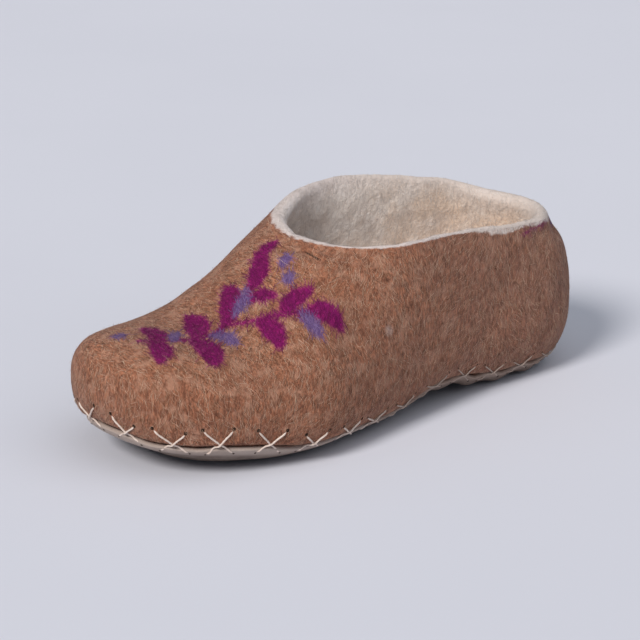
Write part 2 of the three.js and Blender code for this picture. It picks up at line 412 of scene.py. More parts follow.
def creaseDepth(points):
    depth = np.zeros(points.shape[:-1])
    for fold in creases:
        a, b = np.array(fold["from"], float), np.array(fold["to"], float)
        t = np.clip(((points - a) @ (b - a)) / ((b - a) @ (b - a)), 0, 1)
        away = np.linalg.norm(points - (a + t[..., None] * (b - a)), axis=-1)
        depth += fold["deep"] * np.exp(-(away / fold["wide"]) ** 2)
    return depth


# under the toes the edge is drawn in a little where it turns under
turnIn = {"deep": 1.9, "toe": (196.0, 38.0), "low": 0.18, "high": 0.45}


def turnedIn(points):
    x = points[..., 0]
    high = (points[..., 2] - ground(x)) / along(margin, "height", x)  # 1 at the leather's edge
    band = smooth(high / turnIn["low"]) * (1 - rising(high, turnIn["high"], turnIn["high"]))
    return turnIn["deep"] * rising(x, *turnIn["toe"]) * band


soleShare = 1 - (1 - np.linspace(0, 1, felt["soleRows"] + 1)) ** felt["soleCrowd"]
wallShare = np.linspace(0, 1, felt["wallRows"] + 1)[1:]
lowArcs = edgeArc[:, None] * soleShare[None, :]
highArcs = edgeArc[:, None] + (endArc - edgeArc)[:, None] * wallShare[None, :]
feltArcs = np.concatenate([lowArcs, highArcs], 1)
above = feltArcs - edgeArc[:, None]
below = np.where(hasCollar[:, None], endArc[:, None] - feltArcs, 1e3)  # how far under the collar
skin = pointsAt(feltArcs)
settle = blend(felt["settleBack"], felt["settle"], rising(edgeLine[:, :1], *felt["front"]))
tuck = felt["tuck"] * (1 - smooth(above / settle)) + turnedIn(skin)
lump = felt["lump"] * softNoise(skin, felt["lumpSize"], 1)
lump = lump + felt["ripple"] * softNoise(skin, felt["rippleSize"], 2)
pull = felt["pull"] * np.exp(-(crossGap[:, None] / felt["pullWide"]) ** 2)  # drawn in by the crosses
pull = pull * np.exp(-((above - felt["pullAt"]) / felt["pullTall"]) ** 2)
relief = (lump - creaseDepth(skin) - pull) * smooth(above / felt["reliefOver"])
rimLine = skin[onLip, -1]
outerSink, innerSink = along(sinking, "outer", rimLine[:, 0]), along(sinking, "inner", rimLine[:, 0])
rimSink = blend(innerSink, outerSink, rising(rimLine[:, 1], *sinking["side"]))
rimAway, sink = np.zeros((2, *skin.shape[:2]))
for k in range(stationCount):
    away = np.linalg.norm(skin[k][:, None] - rimLine[None], axis=2)
    rimAway[k] = away.min(1)
    sink[k] = rimSink[away.argmin(1)] * smooth(1 - rimAway[k] / lipPlan["sinkOver"])
skinOut = gridNormals(skin)
body = skin + skinOut * relief[..., None]
body[..., 2] -= sink
outerFelt = body - skinOut * tuck[..., None]  # drawn in behind the leather's edge
outward = gridNormals(outerFelt)

# under the collar the wall is crossed more level than square, so the lip lies open to the top
steadyOver = lipPlan["steadyOver"]
steady = unit(sum(np.roll(skinOut, k, 0) for k in range(-steadyOver, steadyOver + 1)))
level = unit(steady * np.array([1, 1, lipPlan["level"]]))
fade = smooth(1 - rimAway / lipPlan["levelOver"])[..., None]
inward = -unit(skinOut * (1 - fade) + level * fade)
wallPick = np.linspace(felt["soleRows"], feltArcs.shape[1] - 1, felt["innerRows"] + 1).astype(int)
innerPick = np.unique(np.concatenate([np.arange(felt["soleRows"]), wallPick]))
throat = rising(skin[..., 0], *lipPlan["throat"]) * falling(skin[..., 1], *lipPlan["throatSide"])
ends = np.maximum(throat, falling(skin[..., 0], *lipPlan["heel"]))
edgeThick = blend(lipPlan["edge"], lipPlan["edgeEnds"], ends)
thickest = blend(lipPlan["below"], lipPlan["belowEnds"], ends)
thicken = 1 - (1 - np.clip(rimAway / lipPlan["over"], 0, 1)) ** lipPlan["power"]
wall = blend(edgeThick, thickest, thicken)
wall = wall + (felt["wall"] - thickest) * rising(rimAway, lipPlan["over"], lipPlan["thinOver"])
wall = wall + felt["tuck"] * smooth(-above / felt["tuckUnder"])
lining = (body + inward * wall[..., None])[:, innerPick]
tuft = felt["tuft"] * softNoise(lining, felt["tuftSize"], 3)
tuft = tuft + felt["curl"] * softNoise(lining, felt["curlSize"], 4)
calm = blend(felt["calm"], 1, smooth(below[:, innerPick] / lipPlan["over"]))
lining = lining + gridNormals(lining) * (tuft * calm)[..., None]
# evened out from station to station near the throat, where they crowd
crowded = smooth(1 - np.abs(rayX - lipPlan["evenAt"]) / lipPlan["evenOver"])[:, None, None]
for _ in range(lipPlan["evenRounds"]):
    evened = (np.roll(lining, 1, 0) + np.roll(lining, -1, 0)) / 2
    lining = lining + (evened - lining) * lipPlan["evenShare"] * crowded
first, back = weld(skin[:, -1])  # stations that end in one point share it inside too
shared = np.zeros((len(first), 3))
np.add.at(shared, back, lining[:, -1])
lining[:, -1] = (shared / np.bincount(back)[:, None])[back]

# lip: a soft roll from the outer edge over to the lining
rimOut, rimIn = outerFelt[onLip, -1], lining[onLip, -1]
rimUp = unit(np.cross(np.roll(rimOut, -1, 0) - np.roll(rimOut, 1, 0), steady[onLip, -1]))
lipTurn = math.radians(lipPlan["turn"])
lipHigh = rimUp * lipPlan["swell"] * np.linalg.norm(rimOut - rimIn, axis=1)[:, None]
arm = (rimOut - rimIn + lipHigh * math.sin(lipTurn)) / (1 - math.cos(lipTurn))
turn = np.linspace(0, lipTurn, lipPlan["rows"] + 1)[None, :, None]
lip = (rimOut - arm)[:, None] + arm[:, None] * np.cos(turn) + lipHigh[:, None] * np.sin(turn)
wave = lipPlan["wave"] * softNoise(lip, lipPlan["waveSize"], 5)
wave = wave + lipPlan["crimp"] * softNoise(lip, lipPlan["crimpSize"], 6)
lip = lip + rimUp[:, None] * wave[..., None] * np.sin(np.pi * turn / lipTurn)

feltPoints = joined((outerFelt, lining, lip))
liningBase = outerFelt[..., 0].size
lipBase = liningBase + lining[..., 0].size
outerFaces = gridFaces(stationCount, outerFelt.shape[1])
liningFaces = gridFaces(stationCount, lining.shape[1], liningBase, inward=True)
lipFaces = gridFaces(lip.shape[0], lip.shape[1], lipBase)
outerTree = BVHTree.FromPolygons([Vector(p) for p in feltPoints[:liningBase]], outerFaces.tolist())
print("felt shaped")


# a dyed sprig felted into the vamp: stems, leaves and berries, x and y in mm on the last
dye = {
    "leafSteps": 13, "leafBase": 0.05, "leafRun": 0.93, "leafRound": 0.85, "stemSteps": 31, "berryHalf": 0.6,
    "dabSteps": 13, "dabEnd": 0.6, "reach": 14.0,
}


def leaf(x, y, turnDeg, size, wide, bow=0.12):
    c, s = math.cos(math.radians(turnDeg)), math.sin(math.radians(turnDeg))
    t = np.linspace(0, 1, dye["leafSteps"])
    side = bow * size * np.sin(np.pi * t)
    path = np.stack([x + c * size * t - s * side, y + s * size * t + c * side], -1)
    return path, wide * np.sin(np.pi * (dye["leafBase"] + dye["leafRun"] * t)) ** dye["leafRound"]


def stem(points, wide):
    p = np.array(points, float)
    t = np.linspace(0, len(p) - 1, dye["stemSteps"])
    path = np.stack([np.interp(t, np.arange(len(p)), p[:, c]) for c in range(2)], -1)
    return path, np.full(len(t), wide)


def berry(x, y, wide):
    return np.array([[x - dye["berryHalf"], y], [x + dye["berryHalf"], y]]), np.array([wide, wide])


sprig = {
    "rose": [
        stem([(243, 2), (230, 10), (215, 14), (200, 13), (187, 8), (176, 0)], 1.2),
        stem([(206, 14), (198, 23), (188, 32), (179, 37)], 1.1),
        leaf(238, 6, 58, 19, 4.8), leaf(236, 7, -104, 20, 4.6, -0.12),
        leaf(223, 12, 76, 24, 5.6), leaf(221, 12, -120, 24, 5.4, -0.12),
        leaf(206, 14, -128, 25, 5.4, -0.12), leaf(194, 11, 128, 15, 3.8),
        leaf(189, 9, -140, 22, 4.8, -0.12), leaf(176, 0, -172, 12, 3.6, 0.1),
        leaf(197, 24, 84, 18, 4.6), leaf(189, 31, 178, 17, 4.4), leaf(179, 37, 132, 15, 4.8),
    ],
    "violet": [
        leaf(214, 14, 104, 14, 3.0), leaf(201, 13, -152, 15, 2.8, -0.1), leaf(183, 36, 100, 11, 3.0),
        leaf(230, 10, -136, 11, 2.4), berry(171, 12, 2.6), berry(176, 20, 2.3), berry(245, -9, 2.4),
    ],
}
heelDabs = {  # under the collar at the heel back
    "rose": [
        {"from": (4, -12, 74), "to": (2, 8, 69), "wide": 4.2},
        {"from": (5, 2, 62), "to": (4, 9, 68), "wide": 2.6},
        {"from": (56, -41, 86), "to": (12, -27, 81.5), "wide": 3.0},
        {"from": (52, 38.5, 72.5), "to": (24, 30, 73), "wide": 0.25},  # only a trace
    ],
    "violet": [{"from": (6, 10, 72), "to": (18, 25, 71), "wide": 2.0}],
}


def onFelt(points):
    return np.array([outerTree.find_nearest(Vector(p))[0] for p in points])


def dyeField(points, strokes):  # distance in mm from the nearest stroke's edge, less than 0 inside
    best = np.full(len(points), dye["reach"])
    for path, wide in strokes:
        for k in range(len(path) - 1):
            a, run = path[k], path[k + 1] - path[k]
            t = np.clip(((points - a) @ run) / max(run @ run, 1e-9), 0, 1)
            away = np.linalg.norm(points - (a + t[:, None] * run), axis=1)
            best = np.minimum(best, away - (wide[k] * (1 - t) + wide[k + 1] * t))
    return best


def onVamp(strokes):
    laid = []
    for path, wide in strokes:
        z = upperHeight(path[:, 0], edgeShare(path[:, 0], path[:, 1]))
        laid.append((onFelt(np.column_stack([path, z])), wide))
    return laid


def dyed(kind):
    dabs = []
    for d in heelDabs[kind]:
        path = onFelt(np.linspace(d["from"], d["to"], dye["dabSteps"]))
        dabs.append((path, d["wide"] * np.linspace(1, dye["dabEnd"], dye["dabSteps"])))
    field = np.full(len(feltPoints), dye["reach"])
    outside = np.r_[:liningBase, lipBase:len(feltPoints)]
    field[outside] = dyeField(feltPoints[outside], onVamp(sprig[kind]) + dabs)
    return field


roseField, violetField = dyed("rose"), dyed("violet")
# mm past the line where the camel stops: below 0 outside, rising over the lip
white = {
    "outside": -1.0, "lowest": -30.0, "inside": 9.0, "reach": 40.0,
    "lip": -2.4, "lipThroat": -0.4, "lipHeel": 2.8, "heel": (66.0, 26.0),
    "spill": 3.4, "spillUneven": 3.0, "spillSize": 11.0, "spillHeel": (92.0, 30.0), "spillSide": (12.0, 20.0),
}
whiteField = np.zeros(len(feltPoints))
# at the heel's outer side the white wool has rolled out over the edge
spill = falling(skin[..., 0], *white["spillHeel"]) * rising(skin[..., 1], *white["spillSide"])
spill = spill * (white["spill"] + white["spillUneven"] * softNoise(skin, white["spillSize"], 7))
whiteField[:liningBase] = np.maximum(spill + white["outside"] - below, white["lowest"]).reshape(-1)
liningDepth = np.minimum(rimAway, white["reach"])[:, innerPick]
whiteField[liningBase:lipBase] = white["inside"] + liningDepth.reshape(-1)
lipStart = white["lip"] + white["lipThroat"] * throat[onLip, -1]
lipStart = lipStart + white["lipHeel"] * falling(rimLine[:, 0], *white["heel"])
lipStart = np.maximum(lipStart, spill[onLip, -1] + white["outside"])
whiteField[lipBase:] = np.linspace(lipStart, white["inside"], lipPlan["rows"] + 1, axis=1).reshape(-1)
# the nick's painted shade line: mm across it, and mm past its ends
nickRun = np.subtract(nickShadeLine["to"], nickShadeLine["from"])
nickFrom = skin.reshape(-1, 3) - np.array(nickShadeLine["from"])
nickAcross, nickPast = np.full((2, len(feltPoints)), nickShadeLine["reach"])
nickAcross[:liningBase] = nickFrom @ unit(np.cross(nickShadeLine["facing"], nickRun))
nickHalf = np.linalg.norm(nickRun) / 2
nickPast[:liningBase] = np.abs(nickFrom @ unit(nickRun) - nickHalf) - nickHalf
markField = np.zeros(len(feltPoints))
for mark in marks:
    away = np.linalg.norm(feltPoints[:liningBase] - np.array(mark["at"]), axis=1)
    markField[:liningBase] += mark["tone"] * np.exp(-(away / mark["wide"]) ** 2)
print("dye and lining fields laid")


camelTones = {
    # heel: painted shade, the greyer camel of the heel turned away from the key light
    "dark": (0.155, 0.054, 0.028), "light": (0.52, 0.212, 0.116), "heel": (0.215, 0.115, 0.088),
    "nickShadeLine": (0.045, 0.019, 0.012), "fleck": (0.50, 0.36, 0.31), "speck": (0.075, 0.030, 0.018),
}
camelLayers = [  # noise by scale, detail, roughness and warp
    {"tone": (0.150, 0.057, 0.034), "noise": (430, 3, 0.6, 0.5), "span": (0.42, 0.66), "most": 0.6},
    {"tone": (0.23, 0.090, 0.054), "noise": (60, 4, 0.6), "span": (0.35, 0.7), "most": 0.42},
    # this layer's fine pale specks are painted glints on the fibres
    {"tone": (0.50, 0.27, 0.165), "noise": (900, 2, 0.6), "span": (0.55, 0.75), "most": 0.3},
    {"tone": (0.50, 0.268, 0.180), "noise": (150, 4, 0.65), "span": (0.47, 0.65), "most": 0.6},
    {"tone": (0.125, 0.049, 0.030), "noise": (230, 3, 0.6, 0.4), "span": (0.52, 0.68), "most": 0.4},
    {"tone": (0.165, 0.067, 0.043), "noise": (24, 2, 0.5), "span": (0.4, 0.7), "most": 0.25},
]
dyeTones = {
    "roseDark": (0.140, 0.002, 0.058), "roseLight": (0.32, 0.006, 0.145),
    "violetDark": (0.10, 0.052, 0.165), "violetLight": (0.22, 0.135, 0.29),
}
roseLayer = {"tone": (0.075, 0.001, 0.032), "noise": (330, 3, 0.6, 0.5), "span": (0.48, 0.66), "most": 0.7}
woolTones = {
    "dark": (0.85, 0.77, 0.72), "light": (0.95, 0.895, 0.86), "paintedShade": (0.54, 0.495, 0.48),
    # cream: partly painted warm light, strongest toward the heel
    # lipDark and lipLight: the lip's tones, lowered as painted shade
    "cream": (0.91, 0.74, 0.605), "lipDark": (0.56, 0.475, 0.445), "lipLight": (0.70, 0.605, 0.575),
    # lipThroat: painted light on the roll at the throat
    "lipHeel": (0.71, 0.60, 0.525), "lipThroat": (0.92, 0.85, 0.82),
}
woolLayer = {"tone": (0.64, 0.54, 0.46), "noise": (330, 3, 0.6), "span": (0.52, 0.75), "most": 0.4}


def feltStreak(f):  # drawn-out fibres, upright on the sides and crosswise on top
    side = f.noise(1500, 3, 0.6, 0.5, f.stretch((1, 1, 0.16), (0, 12, 0)))
    top = f.noise(1500, 3, 0.6, 0.5, f.stretch((1, 0.16, 1), (0, 0, 20)))
    facing = f.node("ShaderNodeSeparateXYZ", [(0, f.node("ShaderNodeNewGeometry").outputs["Normal"])])
    upward = f.ramp(facing.outputs["Z"], 0.35, 0.85)
    sideShare = f.sum("MULTIPLY", side, f.sum("SUBTRACT", 1.0, upward))
    return f.sum("ADD", sideShare, f.sum("MULTIPLY", top, upward))


def camelColour(f, streak, mottle, lengthwise):
    tone = camelTones
    camel = f.mix(f.ramp(streak, 0.34, 0.66), tone["dark"], tone["light"])
    for plan in camelLayers:
        camel = f.layer(camel, plan)
    # painted shade: the camel turns greyer to the heel, the cool tone of the side out of the key light
    camel = f.mix(f.ramp(lengthwise, 0.05, -0.10, 0, 0.4), camel, tone["heel"])  # greyer to the heel
    # painted shade: a dark line along the nick, the shade inside its fold
    nickEdge = f.sum("ADD", f.sum("ABSOLUTE", f.field("nickAcross"), 0.0), f.sum("MULTIPLY", mottle, 0.5))
    nickEnds = f.ramp(f.field("nickPast"), 1.0, -2.5, 0, 0.95)
    camel = f.mix(f.sum("MULTIPLY", f.ramp(nickEdge, 1.15, 0.45), nickEnds), camel, tone["nickShadeLine"])
    mark = f.sum("ADD", f.field("mark"), f.sum("MULTIPLY", f.sum("SUBTRACT", streak, 0.5), 0.5))
    fleck = f.sum("MULTIPLY", f.ramp(mark, 0.35, 0.9, 0, 0.6), f.ramp(f.field("mark"), 0.1, 0.4))
    camel = f.mix(fleck, camel, tone["fleck"])
    return f.mix(f.ramp(f.field("mark"), -0.3, -0.9, 0, 0.75), camel, tone["speck"])


# the lip and the deep lining carry painted light and shade
def woolColour(f, mottle, lengthwise):  # white wool inside and over the lip
    tone = woolTones
    patch = f.ramp(f.noise(140, 4, 0.6), 0.3, 0.7)
    wool = f.mix(patch, tone["dark"], tone["light"])
    # painted shade: greyer deep inside toward the throat, where the lining lies out of the key light
    deep = f.ramp(f.field("white"), 12.0, 30.0, 0, 0.85)
    wool = f.mix(f.sum("MULTIPLY", f.ramp(lengthwise, -0.05, 0.025), deep), wool, tone["paintedShade"])
    # warm cream mottling: tone that varies at random, strengthened toward the heel as painted warm light
    # where the key reaches inside
    cream = f.ramp(lengthwise, -0.01, -0.09, 0.25, 1.2)
    wool = f.mix(f.sum("MULTIPLY", f.ramp(mottle, 0.3, 0.7, 0.2, 0.85), cream), wool, tone["cream"])
    wool = f.layer(wool, woolLayer)
    paintedLipShade = f.mix(patch, tone["lipDark"], tone["lipLight"])  # greyer on the lip: painted shade that evens out the light its upturned top catches
    paintedLipShade = f.mix(f.ramp(lengthwise, -0.02, -0.06, 0, 0.6), paintedLipShade, tone["lipHeel"])
    # painted light: the lip's roll at the throat made brighter, as if lit, though it faces away from the key
    overLip = f.ramp(f.field("white"), 2.5, 7.5, 0, 0.7)
    paintedLipShade = f.mix(f.sum("MULTIPLY", f.ramp(lengthwise, -0.015, 0.02), overLip), paintedLipShade, tone["lipThroat"])
    return f.mix(f.ramp(f.field("white"), 6.0, 20.0), paintedLipShade, wool)


def feltFinish():
    f = Finish("camelFelt")
    tone = dyeTones
    streak = feltStreak(f)
    mottle = f.noise(60, 4, 0.6)
    lengthwise = f.lengthwise()
    # dye, feathered along its edges
    feather = f.sum("MULTIPLY", f.sum("SUBTRACT", f.noise(300, 4, 0.65, 0.8), 0.5), 2.6)
    feather = f.sum("ADD", feather, f.sum("MULTIPLY", f.sum("SUBTRACT", streak, 0.5), 2.2))
    rose = f.layer(f.mix(f.ramp(streak, 0.3, 0.7), tone["roseDark"], tone["roseLight"]), roseLayer)
    violet = f.mix(f.ramp(streak, 0.3, 0.7), tone["violetDark"], tone["violetLight"])
    roseCover = f.ramp(f.sum("ADD", f.field("rose"), feather), 1.3, -1.1, 0, 0.97)
    violetCover = f.ramp(f.sum("ADD", f.field("violet"), feather), 1.5, -1.2, 0, 0.85)
    outside = f.mix(roseCover, camelColour(f, streak, mottle, lengthwise), rose)
    outside = f.mix(violetCover, outside, violet)
    wool = f.mix(f.sum("MULTIPLY", roseCover, 0.55), woolColour(f, mottle, lengthwise), rose)
    ragged = f.sum("MULTIPLY", f.sum("SUBTRACT", f.noise(320, 4, 0.7), 0.5), 4.5)
    whiteCover = f.ramp(f.sum("ADD", f.field("white"), ragged), -0.7, 0.9)
    normal = f.bump(streak, 0.5, 0.0006)
    normal = f.bump(f.noise(480, 4, 0.65), 0.6, 0.0012, normal)
    curls = f.sum("MULTIPLY", f.noise(560, 3, 0.65, 0.3), f.ramp(f.field("white"), 0.5, 3.0))
    normal = f.bump(curls, 0.3, 0.0009, normal)
    return f.done(f.mix(whiteCover, outside, wool), 0.95, normal, specular=0.15, sheen=0.12)


feltFields = [("rose", roseField), ("violet", violetField), ("white", whiteField)]
feltFields += [("nickAcross", nickAcross), ("nickPast", nickPast), ("mark", markField)]
feltFaces = np.concatenate([outerFaces, liningFaces, lipFaces])
feltUpper = addPiece("feltUpper", feltPoints, feltFaces, feltFinish(), feltFields)
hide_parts("felt_upper")

# the leather under the felt, its margin waving and bulging a little between the crosses at the back
leather = {
    "thick": 2.2, "rows": 36, "crowd": 1.35, "innerSkip": 3, "edgeRows": 4, "edgeSwell": 0.4,
    "rear": (150.0, 50.0), "wave": 1.3, "waveFront": 0.3,
    "flare": 0.4, "flareFront": 0.1, "flareOver": 8.0,
    "bulge": 1.5, "bulgeLow": 6.0, "bulgeOver": 3.6, "bulgeClear": 3.0,
    "ripple": 0.14, "frill": 0.35, "rippleSize": 8.0, "soilShade": (0.9, 0.4),
}
leatherTones = {
    # back: painted shade toward the back of the slipper
    "dark": (0.37, 0.295, 0.255), "light": (0.49, 0.405, 0.355), "back": (0.27, 0.185, 0.145),
    # soilShade: soil and painted shade on the edge where it turns under
    "soilShade": (0.125, 0.090, 0.073),
}
leatherLayer = {"tone": (0.27, 0.20, 0.165), "noise": (700, 3, 0.6), "span": (0.55, 0.75), "most": 0.3}


def leatherGrids():
    wave = np.cos(np.pi * np.clip(np.abs(crossGap) / (crossPitch / 2), 0, 1))
    rear = falling(edgeLine[:, 0], *leather["rear"])
    topArc = edgeArc + blend(leather["waveFront"], leather["wave"], rear) * wave
    share = 1 - (1 - np.linspace(0, 1, leather["rows"] + 1)) ** leather["crowd"]
    arcs = topArc[:, None] * share[None, :]
    outer = pointsAt(arcs)
    depth = topArc[:, None] - arcs
    near = smooth(1 - depth / leather["flareOver"])
    low = np.exp(-((depth - leather["bulgeLow"]) / leather["bulgeOver"]) ** 2)
    low = low * smooth(outer[..., 2] / leather["bulgeClear"])
    flare = blend(leather["flareFront"], leather["flare"], rear)
    between = (1 - wave[:, None]) / 2
    lift = between * (flare[:, None] * near + leather["bulge"] * rear[:, None] * low)
    ripple = blend(leather["ripple"], leather["frill"], rear)
    lift = lift + ripple[:, None] * softNoise(outer, leather["rippleSize"], 8) * near
    outer = outer + gridNormals(outer) * (lift - turnedIn(outer))[..., None]
    inner = (outer - gridNormals(outer) * leather["thick"])[:, ::leather["innerSkip"]]
    a, b = outer[:, -1], inner[:, -1]
    up = unit(np.cross(np.roll(a, -1, 0) - np.roll(a, 1, 0), a - b))
    turn = np.linspace(0, np.pi, leather["edgeRows"] + 1)[None, :, None]
    edge = ((a + b) / 2)[:, None] + ((a - b) / 2)[:, None] * np.cos(turn)
    edge = edge + up[:, None] * leather["edgeSwell"] * np.sin(turn)
    return outer, inner, edge


def leatherFinish():
    f = Finish("creamLeather")
    tone = leatherTones
    cream = f.mix(f.ramp(f.noise(45, 4, 0.6), 0.3, 0.7), tone["dark"], tone["light"])
    cream = f.layer(cream, leatherLayer)
    # painted shade: the leather darkened toward the back, where it turns away from the light
    cream = f.mix(f.ramp(f.lengthwise(), 0.05, -0.02, 0, 0.75), cream, tone["back"])  # darker at the back
    # soil and painted shade: darker where the leather turns under toward the floor
    soilShadeShare = f.sum("MULTIPLY", f.field("soilShadeMask"), f.ramp(f.noise(90, 4, 0.65), 0.35, 0.65, 0.6, 0.95))
    normal = f.bump(f.pores(900), 0.35, 0.0004)
    normal = f.bump(f.noise(240, 3, 0.6), 0.3, 0.0006, normal)
    return f.done(f.mix(soilShadeShare, cream, tone["soilShade"]), 0.72, normal, specular=0.3)


leatherOuter, leatherInner, leatherEdge = leatherGrids()
leatherNormals = gridNormals(leatherOuter)
leatherPoints = joined((leatherOuter, leatherInner, leatherEdge))
innerBase = leatherOuter[..., 0].size
edgeBase = innerBase + leatherInner[..., 0].size
leatherFaces = np.concatenate([
    gridFaces(stationCount, leatherOuter.shape[1]),
    gridFaces(stationCount, leatherInner.shape[1], innerBase, inward=True),
    gridFaces(stationCount, leatherEdge.shape[1], edgeBase),
])
leatherHigh = leatherPoints[:, 2] - ground(leatherPoints[:, 0])
leatherMargin = along(margin, "height", leatherPoints[:, 0])
soilShadeField = falling(leatherHigh / leatherMargin, *leather["soilShade"])  # soil and painted shade: darker where it turns under toward the floor
leatherFields = [("soilShadeMask", soilShadeField)]
leatherSole = addPiece("leatherSole", leatherPoints, leatherFaces, leatherFinish(), leatherFields)
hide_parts("leather_sole")


# a point on the outside at a run along the edge and a height over it, and its outward direction
def skinAt(run, high):
    at = np.interp(run % edgeLength, edgeRun, np.arange(stationCount + 1))
    share = at - int(at)
    point, normal = np.zeros(3), np.zeros(3)
    for k, weight in ((int(at) % stationCount, 1 - share), ((int(at) + 1) % stationCount, share)):
        if high >= 0:
            grid, normals = outerFelt[k], outward[k]
            row = np.interp(edgeArc[k] + high, feltArcs[k], np.arange(len(grid)))
        else:
            grid, normals = leatherOuter[k], leatherNormals[k]
            down = np.linalg.norm(grid - grid[-1], axis=1)[::-1]
            row = len(grid) - 1 - np.interp(-high, down, np.arange(len(grid)))
        j = min(int(row), len(grid) - 2)
        u = row - j
        point += weight * (grid[j] * (1 - u) + grid[j + 1] * u)
        normal += weight * (normals[j] * (1 - u) + normals[j + 1] * u)
    return point, unit(normal)


def threadLeg(low, top, crossLift):
    # one leg from a hole in the leather to a hole in the felt, drawn straight over the leather's edge
    t = np.linspace(0, 1, crosses["steps"])
    run = low[0] * (1 - t) + top[0] * t
    high = low[1] * (1 - t) + top[1] * t
    seats = [skinAt(r, h) for r, h in zip(run, high)]
    surface = np.array([s[0] for s in seats])
    normals = np.array([s[1] for s in seats])
    end = np.clip(np.minimum(t, 1 - t) / crosses["endShare"], 0, 1)
    lift = crosses["lift"] + crossLift * np.exp(-((t - 0.5) / crosses["middleShare"]) ** 2)
    chord = surface[0] * (1 - t[:, None]) + surface[-1] * t[:, None]
    clear = ((chord - surface) * normals).sum(1)
    raised = np.maximum(lift - clear, crosses["restShare"] * lift) * end - crosses["sink"] * (1 - end)
    path = chord + normals * raised[:, None]
    path[1:-1] += ((path[:-2] + path[2:]) / 2 - path[1:-1]) * crosses["eased"]
    return path, normals


def twistedTube(path, normals):  # two plies laid round each other
    tangent = unit(np.gradient(path, axis=0))
    side = unit(np.cross(tangent, normals))
    up = np.cross(side, tangent)
    run = np.concatenate([[0], np.linalg.norm(np.diff(path, axis=0), axis=1).cumsum()])
    angle = np.linspace(0, 2 * np.pi, crosses["sides"], endpoint=False)[None, :]
    lobe = 1 + crosses["ply"] * np.cos(2 * angle - run[:, None] * crosses["twist"])
    thick = crosses["thick"] * (1 - crosses["thinner"] * falling(path[:, :1], *crosses["back"]))
    radius = (thick / 2 * lobe)[..., None]
    around = np.cos(angle)[..., None] * side[:, None] + np.sin(angle)[..., None] * up[:, None]
    return (path[:, None] + radius * around).transpose(1, 0, 2)


# backShade: the threads at the back in painted shade
threadTones = {"dark": (0.66, 0.53, 0.455), "light": (0.80, 0.68, 0.60), "backShade": (0.33, 0.245, 0.20)}


def threadFinish():
    f = Finish("waxedThread")
    wax = f.mix(f.ramp(f.noise(500, 3, 0.6), 0.3, 0.7), threadTones["dark"], threadTones["light"])
    # painted shade: the thread darkened toward the back
    wax = f.mix(f.ramp(f.lengthwise(), 0.045, -0.02, 0, 0.8), wax, threadTones["backShade"])  # at the back
    return f.done(wax, 0.6, f.bump(f.noise(3000, 2, 0.6), 0.3, 0.0002), specular=0.35)


# punched holes: shallow cups where the thread goes in, smaller in the felt at the back, painted near black as
# the shade inside each hole
punched = {
    "felt": 0.8, "feltBack": 0.45, "leather": 0.5, "over": 0.5, "under": 0.3, "sides": 10, "tall": 1.2,
    "radius": (1.0, 0.7, 0.35, 0.0), "rise": (0.02, 0.16, 0.10, 0.04),
}
holeShadeTones = {"dark": (0.018, 0.010, 0.007), "light": (0.045, 0.026, 0.018)}
tubes, holes = [], []
for middleRun, half, high, front in zip(crossAt, crossHalf, crossRise, crossFront):
    left, right = middleRun - half, middleRun + half
    highLeft, highRight = high * dice.uniform(*crosses["topSpread"], 2)
    footLeft, footRight = -crosses["drop"] - crosses["slip"] * dice.random(2)
    tubes.append(twistedTube(*threadLeg((left, footLeft), (right, highRight), 0.0)))
    tubes.append(twistedTube(*threadLeg((right, footRight), (left, highLeft), crosses["crossLift"])))
    wide = blend(punched["feltBack"], punched["felt"], front)
    holes += [(left, highLeft + punched["over"], wide), (right, highRight + punched["over"], wide)]
    for run, foot in ((left, footLeft), (right, footRight)):
        holes.append((run, foot - punched["under"], punched["leather"]))
tubeFaces = manyFaces(len(tubes), crosses["sides"], crosses["steps"], inward=True)
addPiece("crossThread", joined(tubes), tubeFaces, threadFinish())


def holeCup(run, high, wide):
    centre, normal = skinAt(run, high)
    side = unit(np.cross(normal, [0, 0, 1.0]))
    up = np.cross(side, normal) * punched["tall"]
    angle = np.linspace(0, 2 * np.pi, punched["sides"], endpoint=False)[:, None, None]
    radius = wide * np.array(punched["radius"])[None, :, None]
    flat = radius * (np.cos(angle) * side + np.sin(angle) * up)
    return centre + flat + np.array(punched["rise"])[None, :, None] * normal


def holeShadeFinish():
    f = Finish("paintedHoleShade")
    # painted shade: the dark inside of each hole
    dark = f.mix(f.ramp(f.noise(900, 3, 0.6), 0.3, 0.7), holeShadeTones["dark"], holeShadeTones["light"])
    return f.done(dark, 0.95, None, specular=0.1)


cups = [holeCup(*hole) for hole in holes]
holeFaces = manyFaces(len(cups), punched["sides"], len(punched["radius"]))
addPiece("paintedHoleShades", joined(cups), holeFaces, holeShadeFinish())

